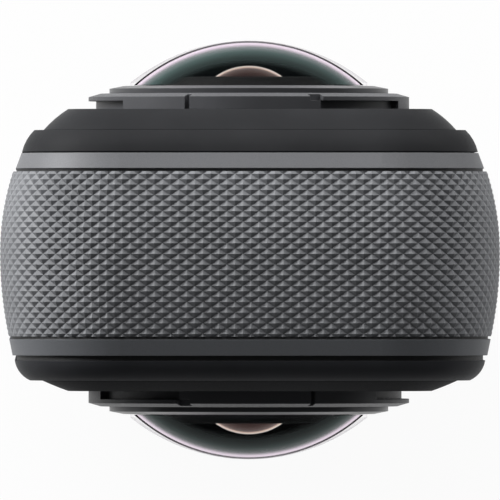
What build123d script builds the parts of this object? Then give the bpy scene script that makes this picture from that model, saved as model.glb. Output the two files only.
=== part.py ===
from build123d import *
import os
from math import sqrt

os.makedirs("parts", exist_ok=True)

# Frame: the camera stands upright on its base, +Z up, the front lens looks along -Y and the
# screen faces +Y. The origin is the centre of the base. All sizes are in millimetres.

# Outline of the body, seen from the front
body_width = 46.0
body_height = 124.5
corner_radius = 11.0
base_flat = 0.75          # how much of the crowned edge is cut away to stand on

# Layers from the widest line of the band to the rear face
band_rear_depth = 7.5
frame_rib_rear = 0.27
rear_trim_depth = 1.43
trim_reveal = 0.1
rear_housing_depth = 2.0
rear_cover_depth = 1.93

# Layers from the widest line of the band to the front face
band_front_depth = 7.63
frame_rib_front = 0.26
front_trim_depth = 1.49
front_groove = 0.46
front_housing_depth = 1.84
front_cover_depth = 0.97

# How far each edge lies inside the outline
band_rear_inset = 1.2
band_front_inset = 0.8
rib_rear_inset = 1.62
rib_front_inset = 1.15
rib_groove_inset = 1.6
rear_trim_wide_inset = 1.5
rear_trim_slim_inset = 2.03
front_trim_wide_inset = 0.9
front_trim_slim_inset = 1.2
rear_housing_wide_inset = 2.07
rear_housing_mid_inset = 2.5
rear_housing_slim_inset = 3.2
rear_cover_wide_inset = 4.05
rear_cover_mid_inset = 5.05
rear_cover_slim_inset = 6.3
front_housing_wide_inset = 1.4
front_housing_mid_inset = 1.8
front_housing_slim_inset = 2.8
front_cover_wide_inset = 3.9
front_cover_mid_inset = 4.9
front_cover_slim_inset = 6.3
frame_inset = 2.8
frame_wall = 1.4
plate_margin = 8.5        # width of the swept rim of a plate, which its middle overlaps

# Lens modules
lens_drop = 23.5          # lens axis below the top of the body
lens_projection = 6.39    # apex of the dome above the cover plate
glass_radius = 17.4
glass_fit = 0.1           # play round the glass in its ring
glass_edge = 2.4
glass_thickness = 1.6
glass_hollow_radius = 9.2
glass_land = 2.7          # width of the glass's seat
mount_radius = 14.8
mount_undercut = 0.7      # depth of the bayonet grooves
mount_bevel = 1.1
mount_wall = 2.5
mount_depth = 1.49
mount_flange = 0.7
mount_edge = 0.32
bayonet_count = 3
bayonet_start = 22.0
bayonet_sweep = 42.0
bayonet_side_sweep = 56.0  # the undercut that reaches round the -X side
bayonet_lead = 4.0
bayonet_blend = 1.0       # degrees by which a lead-in notch reaches over its undercut
index_angle = 113.0
index_slot_width = 0.45
index_slot_depth = 0.7
ring_overlap = 0.57       # how far the ring covers the mount's wall
ring_fit = 0.1
ring_lip = 0.7
ring_edge = 0.45
ring_top_width = 0.6
ring_wall = 1.2
barrel_flange_inset = 0.9  # inside the lens mount
barrel_flange = 0.9
barrel_step = 2.1
barrel_collar_inset = 0.2  # inside the glass's rim
barrel_wall = 1.2
barrel_gap = 0.3
seal_thickness = 0.4
seal_width = 1.0
inner_element_inset = 3.2  # inside the outer glass's seat
inner_element_bulge = 0.3  # by which its curve's radius is the larger
inner_element_apex = 0.72  # gap below the hollow of the outer glass
inner_element_edge = 2.3
sensor_width = 10.0
sensor_height = 8.0
sensor_thickness = 1.0
sensor_board_size = 13.6
board_thickness = 0.8
carrier_rim = 0.3         # beyond the barrel's flange
carrier_web = 1.0
carrier_web_drop = 8.0    # lower edge of the frame's cross wall below the lens axis
carrier_flange_gap = 0.2
lens_screw_radius = 0.5
lens_screw_head_radius = 0.85
lens_screw_head = 0.5
lens_screw_length = 3.0
lens_screw_count = 4
lens_screw_inset = 0.85   # inside the barrel's flange

# Screen
screen_side = 6.8         # beside the touch glass
screen_base = 26.3        # lower edge of the touch glass above the base
screen_radius = 3.0
screen_gap = 2.9          # below the lens mount
touch_thickness = 1.05
touch_gap = 0.12
panel_margin = 1.1
panel_thickness = 1.6
panel_gap = 0.15
screen_ledge = 0.9

# Rear buttons
key_radius_share = 0.27   # of the pitch of the keys
key_gap = 0.15
key_pitch_share = 0.525   # of the screen's width
key_proud = 0.25
key_collar = 0.9
key_collar_depth = 0.6
key_travel = 0.4
key_stem_radius = 1.2
key_dish_radius = 3.4
key_dish_depth = 0.25
key_fillet = 0.35
seat_clearance = 0.1
switch_width = 3.2
switch_depth = 1.3
switch_slack = 0.05
key_board_height = 9.0

# Side buttons
side_key_depth = 4.6
side_key_length = 11.0
side_key_pitch = 15.5
side_key_drop = 16.5      # upper side button below the lens axis
side_key_dish = 0.3
side_collar = 0.7
side_collar_depth = 0.6
side_board_depth = 8.0
side_post_height = 2.4

# Battery
battery_radius = 2.0
battery_rim = 1.15        # band left beside the battery cover
battery_clearance = 0.3
cover_lip = 0.9           # how far the cover reaches past the pack
cover_gap = 0.18
cover_head = 4.0          # the cover's upper end, which also hides the card slot
bay_wall = 0.8
bay_end_gap = 0.6
bay_room = 0.9            # free width beyond the contact block
battery_seal_width = 0.5
battery_seal_thickness = 0.22
contact_count = 4
contact_pitch = 2.2
contact_width = 1.0
contact_block_depth = 11.0
contact_block_height = 3.2
contact_block_thickness = 1.6
latch_depth = 7.6
latch_length = 4.6
latch_travel = 1.6
latch_gap = 0.15
latch_thickness = 1.2
latch_floor = 0.9
latch_tongue_depth = 3.4
latch_tongue_thickness = 0.8
latch_end = 1.6
latch_rib_count = 3
latch_rib = 0.35

# Memory card
card_length = 15.0
card_depth = 11.0
card_thickness = 1.0
card_clearance = 0.1
card_shell = 0.4
card_travel = 0.6
card_sink = 0.3

# USB door and socket
door_length = 15.0
door_drop = 28.27         # upper end of the door below the lens axis
door_gap = 0.2
door_above_battery = 2.2
door_thickness = 1.35
door_near_rim = 1.5
door_far_rim = 1.9
hinge_depth = 1.15        # hinge axis below the skin
hinge_edge_radius = 1.6
hinge_clear_radius = 1.76
knuckle_radius = 0.95
pin_radius = 0.5
pin_clearance = 0.05
pin_grip = 1.6
usb_length = 8.94
usb_depth = 3.26
usb_body = 7.3
usb_wall = 0.3
usb_tongue = 0.7
usb_flange = 1.0
plug_seal_length = 10.6
plug_seal_depth = 4.8
plug_seal_gap = 0.1

# Boards and heat parts
main_board_side = 3.3
main_board_gap = 0.3
main_board_margin = 5.0   # inside the screen's upper and lower edges
shield_side = 4.0
shield_margin = 10.5      # inside the main board's upper and lower edges
shield_gap = 0.25
spreader_side = 0.5
spreader_rim = 1.0        # beyond the grip pad's upper and lower edges
spreader_thickness = 0.8
antenna_side = 13.0       # inside the body's widest line
antenna_depth = 6.0
antenna_thickness = 0.5
flex_thickness = 0.15
flex_width = 3.2
flex_pitch = 9.8
flex_slot_gap = 0.2
flex_plug_height = 2.2
flex_plug_depth = 1.0
flex_base = 4.0

# Sound and light
speaker_length = 9.0
speaker_depth = 8.0
speaker_thickness = 3.4
grille_length = 8.6
grille_depth = 3.0
grille_thickness = 2.0
slot_count = 6
slot_width = 0.6
slot_length = 1.8
mic_radius = 1.3
mic_height = 1.2
mic_port_radius = 0.45
mesh_radius = 1.0
mesh_thickness = 0.2
light_length = 5.0
light_height = 1.3

# Base and tripod socket
base_plate_side = 1.5     # inside the straight part of the foot
base_plate_depth = 11.4
base_plate_radius = 2.2
base_notch_length = 3.0
base_notch_width = 2.2
base_notch_depth = 1.1
base_notch_side = 2.8
insert_flange_radius = 4.4
insert_flange = 0.8
insert_radius = 3.9
insert_length = 6.4
thread_radius = 2.56
thread_depth = 5.6
thread_chamfer = 0.5

# Front grip pad
pad_side = 9.5
pad_gap = 11.2            # below the lens mount
pad_radius = 4.0
pad_thickness = 0.6
pad_base = 13.0

# Housing screws and bosses
boss_radius = 2.0
boss_inset = 3.1
screw_radius = 0.7
screw_head_radius = 1.3
screw_head = 0.7
screw_length = 5.0
boss_high_share = 0.875
boss_low_share = 0.085

overrun = 1.0             # how far cutters reach past the faces they cut


# Places worked out from the sizes above
half_width = body_width / 2
rear_depth = (band_rear_depth + frame_rib_rear + rear_trim_depth + trim_reveal
              + rear_housing_depth + rear_cover_depth)
front_depth = (band_front_depth + frame_rib_front + front_trim_depth + front_groove
               + front_housing_depth + front_cover_depth)
rear_face = (rear_depth + front_depth) / 2
front_face = -rear_face
crown_y = rear_face - rear_depth
band_rear = crown_y + band_rear_depth
rear_trim = band_rear + frame_rib_rear
rear_housing_y = rear_trim + rear_trim_depth + trim_reveal
rear_cover_y = rear_housing_y + rear_housing_depth
band_front = crown_y - band_front_depth
front_trim = band_front - frame_rib_front
front_trim_end = front_trim - front_trim_depth
front_housing_y = front_trim_end - front_groove
front_cover_y = front_housing_y - front_housing_depth
frame_x = half_width - frame_inset
frame_inner_x = frame_x - frame_wall
outline_height = body_height + base_flat
outline_middle = body_height - outline_height / 2
lens_z = body_height - lens_drop
mount_neck_radius = mount_radius - mount_undercut
mount_crown_radius = mount_radius - mount_bevel
mount_bore_radius = mount_radius - mount_wall
ring_radius = mount_bore_radius + ring_overlap
ring_sleeve_radius = mount_bore_radius - ring_fit
ring_opening_radius = ring_sleeve_radius - ring_wall
ring_crown_radius = ring_opening_radius + ring_top_width
glass_rim_radius = ring_opening_radius - glass_fit
glass_seat_radius = glass_rim_radius - glass_land
barrel_collar_radius = glass_rim_radius - barrel_collar_inset
barrel_radius = barrel_collar_radius - barrel_step
inner_element_radius = glass_seat_radius - inner_element_inset
inner_element_curve = inner_element_radius + inner_element_bulge
barrel_flange_radius = mount_radius - barrel_flange_inset
carrier_radius = barrel_flange_radius + carrier_rim
lens_screw_circle_radius = barrel_flange_radius - lens_screw_inset
antenna_width = body_width - 2 * antenna_side


def at_depth(y, sketch, thickness):
    """A sketch in X and Z, pushed from depth y along +Y."""
    face_plane = Plane((0, y + thickness, 0), x_dir=(1, 0, 0), z_dir=(0, -1, 0))
    return extrude(face_plane * sketch, thickness)


def from_side(x, sketch, thickness):
    """A sketch in Y and Z, pushed from x along +X."""
    return extrude(Plane((x, 0, 0), x_dir=(0, 1, 0), z_dir=(1, 0, 0)) * sketch, thickness)


def from_below(z, sketch, thickness):
    """A sketch in X and Y, pushed up from height z."""
    return extrude(Pos(0, 0, z) * sketch, thickness)


def rounded(width, height, radius, u=0, v=0):
    return Pos(u, v) * RectangleRounded(width, height, radius)


def block(x_range, y_range, z_range):
    """A plain box between three pairs of limits."""
    size = [high - low for low, high in (x_range, y_range, z_range)]
    middle = [(low + high) / 2 for low, high in (x_range, y_range, z_range)]
    return Pos(*middle) * Box(*size)


def outline_path():
    """The outline of the body at its widest line, as one closed wire."""
    side = half_width
    turn = half_width - corner_radius
    straight = outline_height / 2 - corner_radius
    diagonal = corner_radius * sqrt(0.5)
    top = outline_middle + outline_height / 2
    low = outline_middle - outline_height / 2
    high_turn = outline_middle + straight
    low_turn = outline_middle - straight
    start = (side, 0, outline_middle)
    edges = [Line(start, (side, 0, high_turn)),
             ThreePointArc((side, 0, high_turn), (turn + diagonal, 0, high_turn + diagonal),
                           (turn, 0, top)),
             Line((turn, 0, top), (-turn, 0, top)),
             ThreePointArc((-turn, 0, top), (-turn - diagonal, 0, high_turn + diagonal),
                           (-side, 0, high_turn)),
             Line((-side, 0, high_turn), (-side, 0, low_turn)),
             ThreePointArc((-side, 0, low_turn), (-turn - diagonal, 0, low_turn - diagonal),
                           (-turn, 0, low)),
             Line((-turn, 0, low), (turn, 0, low)),
             ThreePointArc((turn, 0, low), (turn + diagonal, 0, low_turn - diagonal),
                           (side, 0, low_turn)),
             Line((side, 0, low_turn), start)]
    return Wire(edges)


body_outline = outline_path()


def around(*edges):
    """Sweep a closed profile, drawn in X and Y beside the body, round the outline."""
    face = Pos(0, 0, outline_middle) * make_face(list(edges))
    return sweep(face, path=body_outline)


def ring_of(points):
    return around(Polyline(*points, close=True))


def core(inset, y, thickness):
    """The middle of a plate, whose outline lies the given inset inside the body's."""
    shape = rounded(body_width - 2 * inset, outline_height - 2 * inset, corner_radius - inset,
                    0, outline_middle)
    return at_depth(y, shape, thickness)


def above_floor(solid):
    """Cut the foot of the body flat at its base."""
    reach = body_width
    return solid - block((-reach, reach), (-reach, reach), (-base_flat - overrun, 0))


def turned(points, direction=1):
    """Revolve an outline of (radius, height along the lens axis) about the lens axis."""
    outline = Polyline(*[(radius, direction * height) for radius, height in points], close=True)
    return Pos(0, 0, lens_z) * revolve(make_face(outline), Axis.Y)


def lens_hole(radius, y, thickness):
    return at_depth(y, Pos(0, lens_z) * Circle(radius), thickness)


def side_plate(wide, mid, slim, y, depth, direction, mid_share):
    """A full plate with a curved shoulder that narrows away from the band."""
    outer = y + direction * depth
    middle = y + direction * depth * mid_share
    shoulder = ThreePointArc((half_width - wide, y), (half_width - mid, middle),
                             (half_width - slim, outer))
    margin = half_width - plate_margin
    rest = Polyline((half_width - slim, outer), (margin, outer), (margin, y), (half_width - wide, y))
    rim = around(shoulder, rest)
    return rim + core(plate_margin - overrun, min(y, outer), depth)


def boss_places():
    """X and Z of the four corner screws."""
    x = frame_inner_x - boss_inset + frame_wall
    high = body_height * boss_high_share
    low = body_height * boss_low_share
    return [(-x, low), (x, low), (-x, high), (x, high)]


# Band window, battery and door places
window_front = band_front + battery_rim
window_rear = band_rear - battery_rim
cover_depth = window_rear - window_front - 2 * cover_gap
cover_middle = (window_rear + window_front) / 2
pack_depth = cover_depth - 2 * cover_lip
battery_base = corner_radius - base_flat + bay_wall + battery_clearance
battery_width = 2 * frame_inner_x - bay_end_gap - contact_block_thickness - bay_room
door_high = lens_z - door_drop
door_low = door_high - door_length
door_middle_z = (door_low + door_high) / 2
cover_high = door_low - door_above_battery - cover_gap
cover_low = battery_base - cover_lip
pack_top = cover_high - cover_head
battery_height = pack_top - battery_base
bay_inner_depth = pack_depth + 2 * battery_clearance
bay_rear = cover_middle + bay_inner_depth / 2 + bay_wall
bay_front = cover_middle - bay_inner_depth / 2 - bay_wall
bay_low = battery_base - battery_clearance - bay_wall
bay_high = pack_top + battery_clearance + bay_wall
bay_end = -frame_inner_x + battery_width + bay_end_gap
card_middle_z = bay_high + card_shell + card_clearance + card_thickness / 2
hinge_y = band_front + door_near_rim + hinge_edge_radius
hinge_sag = band_front_inset * ((crown_y - hinge_y) / band_front_depth) ** 2
hinge_x = -(half_width - hinge_sag - hinge_depth)
door_far = band_rear - door_far_rim
usb_y = (hinge_y + door_far) / 2
upper_key_z = lens_z - side_key_drop
lower_key_z = upper_key_z - side_key_pitch
side_key_y = crown_y
speaker_z = (bay_high + lower_key_z - side_key_length / 2 - side_collar) / 2
base_plate_thickness = frame_inset - base_flat
screen_top = lens_z - mount_radius - screen_gap
screen_low = screen_base
screen_height = screen_top - screen_low
screen_width = body_width - 2 * screen_side
screen_z = (screen_top + screen_low) / 2
key_pitch = key_pitch_share * screen_width
key_radius = key_radius_share * key_pitch
pad_width = body_width - 2 * pad_side
pad_height = lens_z - mount_radius - pad_gap - pad_base
base_plate_width = body_width - 2 * corner_radius - 2 * base_plate_side
base_notch_pitch = base_plate_width - 2 * base_notch_side
touch_y = rear_face - touch_thickness
panel_y = touch_y - panel_gap - panel_thickness
plate_low = rear_cover_slim_inset - base_flat
key_z = (screen_low + plate_low) / 2


def crown_edges():
    """The crowned outer edge of the band, from its front corner to its rear corner."""
    widest = (half_width, crown_y)
    rear_arc = TangentArc(widest, (half_width - band_rear_inset, band_rear), tangent=(0, 1))
    front_arc = TangentArc(widest, (half_width - band_front_inset, band_front), tangent=(0, -1))
    return rear_arc, front_arc


def crown_skin(depth):
    """The whole band, from its crown down to the given inset, without windows."""
    rear_arc, front_arc = crown_edges()
    back = Polyline((half_width - band_rear_inset, band_rear), (half_width - depth, band_rear),
                    (half_width - depth, band_front), (half_width - band_front_inset, band_front))
    return around(rear_arc, front_arc, back)


full_band = above_floor(crown_skin(frame_inset))


# Windows through the band
def side_window(x_low, x_high, y_low, y_high, z_low, z_high, radius):
    shape = rounded(y_high - y_low, z_high - z_low, radius, (y_low + y_high) / 2, (z_low + z_high) / 2)
    return from_side(x_low, shape, x_high - x_low)


skin_low = -half_width - overrun
skin_high = -frame_x
battery_window = side_window(skin_low, skin_high, window_front, window_rear,
                             cover_low - cover_gap, cover_high + cover_gap, battery_radius)


def side_keys_shape(grow):
    keys = [rounded(side_key_depth + 2 * grow, side_key_length + 2 * grow,
                    side_key_depth / 2 + grow - key_fillet, side_key_y, z)
            for z in (upper_key_z, lower_key_z)]
    return keys


def hinge_rod(radius, z_low, z_high):
    return from_below(z_low, Pos(hinge_x, hinge_y) * Circle(radius), z_high - z_low)


def door_window():
    """The hole in the band for the door, with room for its hinge edge to turn."""
    flat = block((skin_low, skin_high), (hinge_y, door_far + door_gap),
                 (door_low - door_gap, door_high + door_gap))
    turning = hinge_rod(hinge_clear_radius, door_low - door_gap, door_high + door_gap)
    return flat + turning


def base_plate_shape(gap):
    """The base plate's outline seen from below; gap is the room round it."""
    return rounded(base_plate_width + 2 * gap, base_plate_depth + 2 * gap, base_plate_radius,
                   0, cover_middle)


def grille_window():
    shape = rounded(grille_depth, grille_length, grille_depth / 2 - key_fillet, side_key_y, speaker_z)
    return from_side(frame_x, shape, half_width + overrun - frame_x)


def make_grip_band():
    band = full_band - battery_window - door_window()
    for shape in side_keys_shape(key_gap):
        band -= from_side(frame_x, shape, half_width + overrun - frame_x)
    band -= grille_window()
    band -= hinge_rod(pin_radius, door_low - pin_grip, door_high + pin_grip)
    band -= from_below(-overrun, base_plate_shape(0), base_plate_thickness + overrun)
    return band


def make_rear_trim():
    return ring_of([(frame_x, rear_trim), (half_width - rear_trim_wide_inset, rear_trim),
                    (half_width - rear_trim_slim_inset, rear_trim + rear_trim_depth),
                    (frame_x, rear_trim + rear_trim_depth)])


def make_front_trim():
    return ring_of([(frame_x, front_trim), (half_width - front_trim_wide_inset, front_trim),
                    (half_width - front_trim_slim_inset, front_trim_end), (frame_x, front_trim_end)])


def make_inner_frame():
    """The structural frame with its locating ribs, screw bosses and openings."""
    frame = ring_of([(frame_inner_x, front_housing_y), (half_width - rib_groove_inset, front_housing_y),
                     (half_width - rib_groove_inset, front_trim_end), (frame_x, front_trim_end),
                     (frame_x, front_trim), (half_width - rib_front_inset, front_trim),
                     (half_width - rib_front_inset, band_front), (frame_x, band_front),
                     (frame_x, band_rear), (half_width - rib_rear_inset, band_rear),
                     (half_width - rib_rear_inset, rear_trim), (frame_x, rear_trim),
                     (frame_x, rear_housing_y), (frame_inner_x, rear_housing_y)])
    web = core(frame_inset + frame_wall, -carrier_web / 2, carrier_web)
    web &= block((-half_width, half_width), (-carrier_web, carrier_web),
                 (lens_z - carrier_web_drop, body_height))
    frame += web - lens_hole(carrier_radius, -carrier_web, 2 * carrier_web)
    for x, z in boss_places():
        for y, end in ((front_housing_y, bay_front), (bay_rear, rear_housing_y)):
            frame += at_depth(y, Pos(x, z) * Circle(boss_radius), end - y)
    post_z = (upper_key_z + lower_key_z) / 2
    frame += block((side_board_x + board_thickness, frame_inner_x),
                   (side_key_y - side_board_depth / 2, side_key_y + side_board_depth / 2),
                   (post_z - side_post_height / 2, post_z + side_post_height / 2))
    wall_low = -frame_x - overrun
    bay = side_window(wall_low, -frame_inner_x + overrun, bay_front + bay_wall, bay_rear - bay_wall,
                      bay_low + bay_wall, bay_high - bay_wall, battery_radius)
    frame -= bay
    mouth = card_thickness + 2 * card_clearance
    frame -= side_window(wall_low, -frame_inner_x + overrun,
                         cover_middle - card_depth / 2 - card_clearance,
                         cover_middle + card_depth / 2 + card_clearance,
                         card_middle_z - mouth / 2, card_middle_z + mouth / 2, card_clearance)
    frame -= side_window(wall_low, -frame_inner_x + overrun, usb_y - usb_depth / 2,
                         usb_y + usb_depth / 2, door_middle_z - usb_length / 2,
                         door_middle_z + usb_length / 2, usb_depth / 2 - usb_wall / 2)
    frame -= hinge_rod(hinge_clear_radius, door_low - door_gap, door_high + door_gap)
    for shape in side_keys_shape(key_gap):
        frame -= from_side(frame_inner_x - overrun, shape, frame_wall + 2 * overrun)
    grille_hole = Pos(side_key_y, speaker_z) * Rectangle(slot_length, grille_length - slot_length)
    frame -= from_side(frame_inner_x - overrun, grille_hole, frame_wall + 2 * overrun)
    frame -= from_below(-overrun, Pos(0, cover_middle) * Circle(insert_radius), insert_length + overrun)
    for x, z in boss_places():
        frame -= at_depth(front_housing_y - overrun, Pos(x, z) * Circle(screw_radius),
                          screw_length + overrun)
        frame -= at_depth(rear_housing_y - screw_length, Pos(x, z) * Circle(screw_radius),
                          screw_length + overrun)
    return frame


def make_rear_housing():
    housing = side_plate(rear_housing_wide_inset, rear_housing_mid_inset, rear_housing_slim_inset,
                         rear_housing_y, rear_housing_depth, 1, mid_share=0.55)
    y = rear_housing_y - overrun
    reach = rear_housing_depth + 2 * overrun
    housing -= lens_hole(barrel_flange_radius + seat_clearance, y, reach)
    panel_hole = rounded(screen_width - 2 * screen_ledge, screen_height - 2 * screen_ledge,
                         screen_radius - screen_ledge, 0, screen_z)
    housing -= at_depth(y, panel_hole, reach)
    for x in (-key_pitch / 2, key_pitch / 2):
        housing -= at_depth(y, Pos(x, key_z) * Circle(key_radius + key_collar + key_gap), reach)
    for x, z in boss_places():
        housing -= at_depth(y, Pos(x, z) * Circle(screw_radius), reach)
        housing -= at_depth(rear_cover_y - screw_head, Pos(x, z) * Circle(screw_head_radius), reach)
    return housing


def make_rear_cover():
    cover = side_plate(rear_cover_wide_inset, rear_cover_mid_inset, rear_cover_slim_inset,
                       rear_cover_y, rear_cover_depth, 1, mid_share=0.52)
    y = rear_cover_y - overrun
    reach = rear_cover_depth + 2 * overrun
    cover -= lens_hole(ring_sleeve_radius + seat_clearance, y, reach)
    glass_hole = rounded(screen_width + 2 * touch_gap, screen_height + 2 * touch_gap, screen_radius,
                         0, screen_z)
    cover -= at_depth(touch_y, glass_hole, touch_thickness + overrun)
    panel_hole = rounded(screen_width - 2 * screen_ledge, screen_height - 2 * screen_ledge,
                         screen_radius - screen_ledge, 0, screen_z)
    cover -= at_depth(y, panel_hole, reach)
    for x in (-key_pitch / 2, key_pitch / 2):
        cover -= at_depth(y, Pos(x, key_z) * Circle(key_radius + key_gap), reach)
        counterbore = Pos(x, key_z) * Circle(key_radius + key_collar + key_gap)
        cover -= at_depth(y, counterbore, overrun + key_collar_depth + seat_clearance)
    cover -= mic_port(rear_cover_y, rear_cover_depth, rear_mic_x)
    cover -= at_depth(y, light_shape(rear_light_x, rear_light_z), reach)
    return cover


def make_front_housing():
    housing = side_plate(front_housing_wide_inset, front_housing_mid_inset, front_housing_slim_inset,
                         front_housing_y, front_housing_depth, -1, mid_share=0.55)
    y = front_cover_y - overrun
    reach = front_housing_depth + 2 * overrun
    housing -= lens_hole(barrel_flange_radius + seat_clearance, y, reach)
    housing -= at_depth(y, light_shape(0, front_light_z), reach)
    housing -= at_depth(y, Pos(front_mic_x, front_light_z) * Circle(mic_port_radius), reach)
    for x, z in boss_places():
        housing -= at_depth(y, Pos(x, z) * Circle(screw_radius), reach)
        housing -= at_depth(y, Pos(x, z) * Circle(screw_head_radius), overrun + screw_head)
    return housing


def make_front_cover():
    cover = side_plate(front_cover_wide_inset, front_cover_mid_inset, front_cover_slim_inset,
                       front_cover_y, front_cover_depth, -1, mid_share=0.45)
    y = front_face - overrun
    reach = front_cover_depth + 2 * overrun
    cover -= lens_hole(ring_sleeve_radius + seat_clearance, y, reach)
    cover -= at_depth(y, pad_shape(0), overrun + pad_thickness)
    cover -= at_depth(y, light_shape(0, front_light_z), reach)
    cover -= at_depth(y, Pos(front_mic_x, front_light_z) * Circle(mic_port_radius), reach)
    cover -= at_depth(y, Pos(front_mic_x, front_light_z) * Circle(mesh_radius),
                      overrun + mesh_thickness)
    return cover


def pad_shape(gap):
    return rounded(pad_width + 2 * gap, pad_height + 2 * gap, pad_radius, 0, pad_base + pad_height / 2)


def make_grip_pad():
    return at_depth(front_face, pad_shape(-touch_gap), pad_thickness)


# Lights and microphones
front_light_z = lens_z - mount_radius - pad_gap / 2
front_mic_x = pad_width / 3
rear_light_x = 0.0
rear_light_z = key_z
rear_mic_x = screen_width / 3
rear_mic_z = (screen_top + lens_z - mount_radius) / 2


def light_shape(x, z):
    return rounded(light_length, light_height, light_height / 2 - key_gap, x, z)


def mic_port(y, depth, x):
    port = at_depth(y - overrun, Pos(x, rear_mic_z) * Circle(mic_port_radius), depth + 2 * overrun)
    return port + at_depth(y + depth - mesh_thickness, Pos(x, rear_mic_z) * Circle(mesh_radius),
                           mesh_thickness + overrun)


def disc(x, y, z, radius, thickness):
    return at_depth(y, Pos(x, z) * Circle(radius), thickness)


def make_status_lights():
    """Two light pipes, one behind the front lens and one between the rear buttons."""
    front = at_depth(front_face, light_shape(0, front_light_z), front_cover_depth + front_housing_depth)
    rear = at_depth(rear_cover_y, light_shape(rear_light_x, rear_light_z), rear_cover_depth)
    return [front, rear]


def make_mic_meshes():
    return [disc(rear_mic_x, rear_face - mesh_thickness, rear_mic_z, mesh_radius, mesh_thickness),
            disc(front_mic_x, front_face, front_light_z, mesh_radius, mesh_thickness)]


def make_microphones():
    return [disc(rear_mic_x, rear_housing_y - mic_height, rear_mic_z, mic_radius, mic_height),
            disc(front_mic_x, front_housing_y, front_light_z, mic_radius, mic_height)]


# Lens modules, built for the rear and mirrored for the front
mount_face = rear_face + mount_depth
ring_face = mount_face + ring_lip
apex = rear_face + lens_projection
glass_centre = apex - glass_radius
hollow_apex = apex - glass_thickness
hollow_centre = hollow_apex - glass_hollow_radius
glass_corner = glass_centre + sqrt(glass_radius ** 2 - glass_rim_radius ** 2)
glass_seat = glass_corner - glass_edge
seal_y = glass_seat - seal_thickness
carrier_face = rear_housing_y - carrier_flange_gap
barrel_flange_top = carrier_face + barrel_flange
sensor_board_y = carrier_web / 2
sensor_y = sensor_board_y + board_thickness
barrel_low = sensor_y + sensor_thickness + barrel_gap
element_apex = hollow_apex - inner_element_apex
element_rim = element_apex - inner_element_curve + sqrt(inner_element_curve ** 2
                                                        - inner_element_radius ** 2)
element_low = element_rim - inner_element_edge


def lens_face(points_and_curves):
    return Pos(0, 0, lens_z) * revolve(make_face(points_and_curves), Axis.Y)


def arc_about_axis(radius, centre, start_radius, end_radius):
    """An arc of a sphere centred on the lens axis, between two distances from the axis."""
    mid_radius = (start_radius + end_radius) / 2
    places = [(r, centre + sqrt(radius ** 2 - r ** 2)) for r in (start_radius, mid_radius, end_radius)]
    return ThreePointArc(*places)


def make_glass():
    hollow_edge = hollow_centre + sqrt(glass_hollow_radius ** 2 - glass_seat_radius ** 2)
    outer = arc_about_axis(glass_radius, glass_centre, 0, glass_rim_radius)
    inner = arc_about_axis(glass_hollow_radius, hollow_centre, glass_seat_radius, 0)
    rim = Polyline((glass_rim_radius, glass_corner), (glass_rim_radius, glass_seat),
                   (glass_seat_radius, glass_seat), (glass_seat_radius, hollow_edge))
    axis_line = Line((0, hollow_apex), (0, apex))
    return lens_face([outer, rim, inner, axis_line])


def make_inner_element():
    dome = arc_about_axis(inner_element_curve, element_apex - inner_element_curve, 0,
                          inner_element_radius)
    rim = Polyline((inner_element_radius, element_rim), (inner_element_radius, element_low),
                   (0, element_low), (0, element_apex))
    return lens_face([dome, rim])


def make_lens_ring():
    return turned([(ring_opening_radius, barrel_flange_top), (ring_sleeve_radius, barrel_flange_top),
                   (ring_sleeve_radius, mount_face), (ring_radius, mount_face),
                   (ring_radius, mount_face + ring_edge), (ring_crown_radius, ring_face),
                   (ring_opening_radius, ring_face)])


def make_barrel():
    """A black barrel that seats the glass, holds the inner element and faces the sensor."""
    bore = inner_element_radius
    barrel = turned([(bore - barrel_wall, barrel_low), (barrel_radius, barrel_low),
                   (barrel_radius, carrier_face), (barrel_flange_radius, carrier_face),
                   (barrel_flange_radius, barrel_flange_top), (barrel_collar_radius, barrel_flange_top),
                   (barrel_collar_radius, seal_y), (glass_seat_radius, seal_y),
                   (glass_seat_radius - barrel_wall, glass_seat), (bore + barrel_wall, element_rim),
                   (bore, element_rim), (bore, element_low), (bore - barrel_wall, element_low)])
    for x, z in lens_screw_places():
        barrel -= disc(x, carrier_face, z, lens_screw_radius, barrel_flange)
    return barrel


def make_seal():
    outer = barrel_collar_radius
    return turned([(outer - seal_width, seal_y), (outer, seal_y), (outer, glass_seat),
                   (outer - seal_width, glass_seat)])


def bayonet_spans():
    """Start angle and sweep of each undercut; the second one reaches round the -X side."""
    step = 360.0 / bayonet_count
    sweeps = [bayonet_side_sweep if number == 1 else bayonet_sweep for number in range(bayonet_count)]
    return [(bayonet_start + step * number, sweep) for number, sweep in enumerate(sweeps)]


def make_mount():
    """The round bayonet collar: full height walls with undercuts for the guard's tabs."""
    mount = turned([(mount_bore_radius, rear_face), (mount_radius, rear_face),
                    (mount_radius, mount_face - mount_edge), (mount_crown_radius, mount_face),
                    (mount_bore_radius, mount_face)])
    undercut = mount_depth - mount_flange
    for angle, sweep in bayonet_spans():
        groove = (Circle(mount_radius + overrun) - Circle(mount_neck_radius))
        sector = sector_shape(angle, sweep)
        mount -= at_depth(rear_face - overrun, Pos(0, lens_z) * (groove & sector), undercut + overrun)
        lead = sector_shape(angle + sweep - bayonet_blend, bayonet_lead + bayonet_blend)
        mount -= at_depth(rear_face + undercut, Pos(0, lens_z) * (groove & lead), mount_flange + overrun)
    slot = Rot(0, 0, index_angle) * Pos(mount_radius, 0) * Rectangle(2 * index_slot_depth, index_slot_width)
    mount -= at_depth(rear_face, Pos(0, lens_z) * slot, mount_depth + overrun)
    return mount


def sector_shape(start, sweep_angle):
    """A wedge from the lens axis, between two angles counted from +X towards +Z."""
    reach = 2 * mount_radius
    corners = [(0, 0)]
    for angle in (start, start + sweep_angle / 2, start + sweep_angle):
        direction = Vector(1, 0).rotate(Axis.Z, angle)
        corners.append((direction.X * reach, direction.Y * reach))
    return make_face(Polyline(*corners, close=True))


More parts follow.
